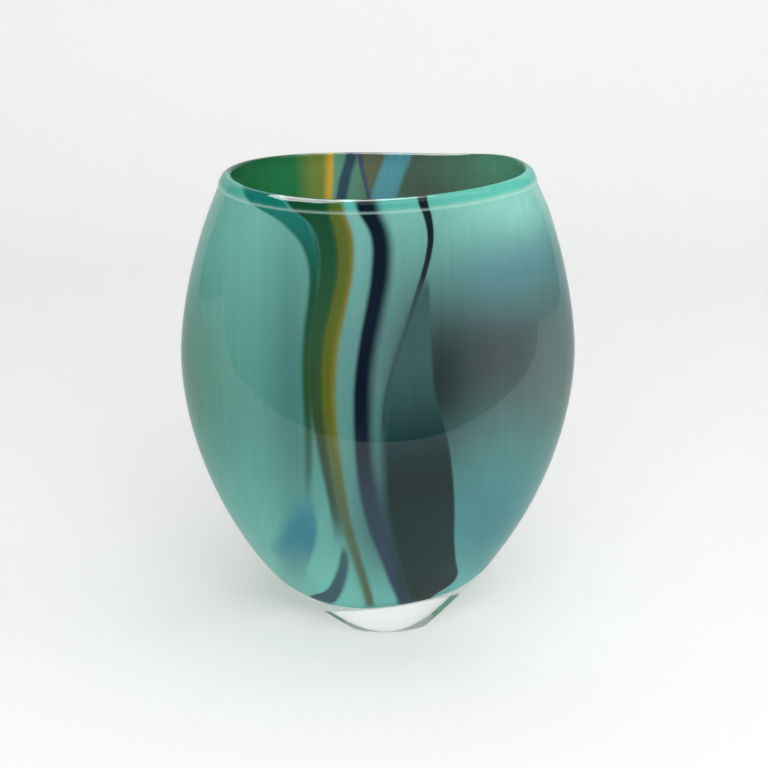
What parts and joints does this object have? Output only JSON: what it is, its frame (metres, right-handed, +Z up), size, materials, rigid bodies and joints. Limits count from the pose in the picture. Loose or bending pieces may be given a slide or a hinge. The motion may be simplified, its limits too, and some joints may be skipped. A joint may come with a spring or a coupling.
{
  "type": "art glass vase",
  "caption": "Flattened oval blown glass vase with a coloured layer of ribbons cased in clear glass, an open flower well and a ground clear foot.",
  "frame": {"origin": "on the bench plane under the middle of the body", "axes": "+Z up out of the mouth, +X along the wide side towards the pointed end of the mouth, -Y towards the front"},
  "size_m": [0.208, 0.1248, 0.2528],
  "materials": {
    "clear_glass": "polished clear",
    "aqua_glass": "milky turquoise under clear glass",
    "teal_glass": "transparent teal green",
    "pale_glass": "pale opal",
    "green_glass": "transparent forest green",
    "amber_glass": "amber",
    "navy_glass": "ink blue",
    "black_glass": "black",
    "smoke_glass": "smoky purple brown",
    "blue_glass": "light blue",
    "olive_glass": "olive brown"
  },
  "bodies": {
    "root": {"clear_casing": "clear_glass", "clear_lining": "clear_glass", "aqua_ground": "aqua_glass", "teal_ribbon": "teal_glass", "pale_thread": "pale_glass", "green_ribbon": "green_glass", "amber_cane": "amber_glass", "navy_cane": "navy_glass", "black_cane": "black_glass", "forest_panel": "green_glass", "smoke_patch": "smoke_glass", "blue_wisp": "blue_glass", "indigo_curl": "navy_glass", "back_green_ribbon": "green_glass", "back_amber_cane": "amber_glass", "back_navy_cane": "navy_glass", "back_indigo_thread": "navy_glass", "back_olive_streak": "olive_glass", "back_blue_ribbon": "blue_glass", "back_smoke_patch": "smoke_glass"}
  },
  "joints": []
}
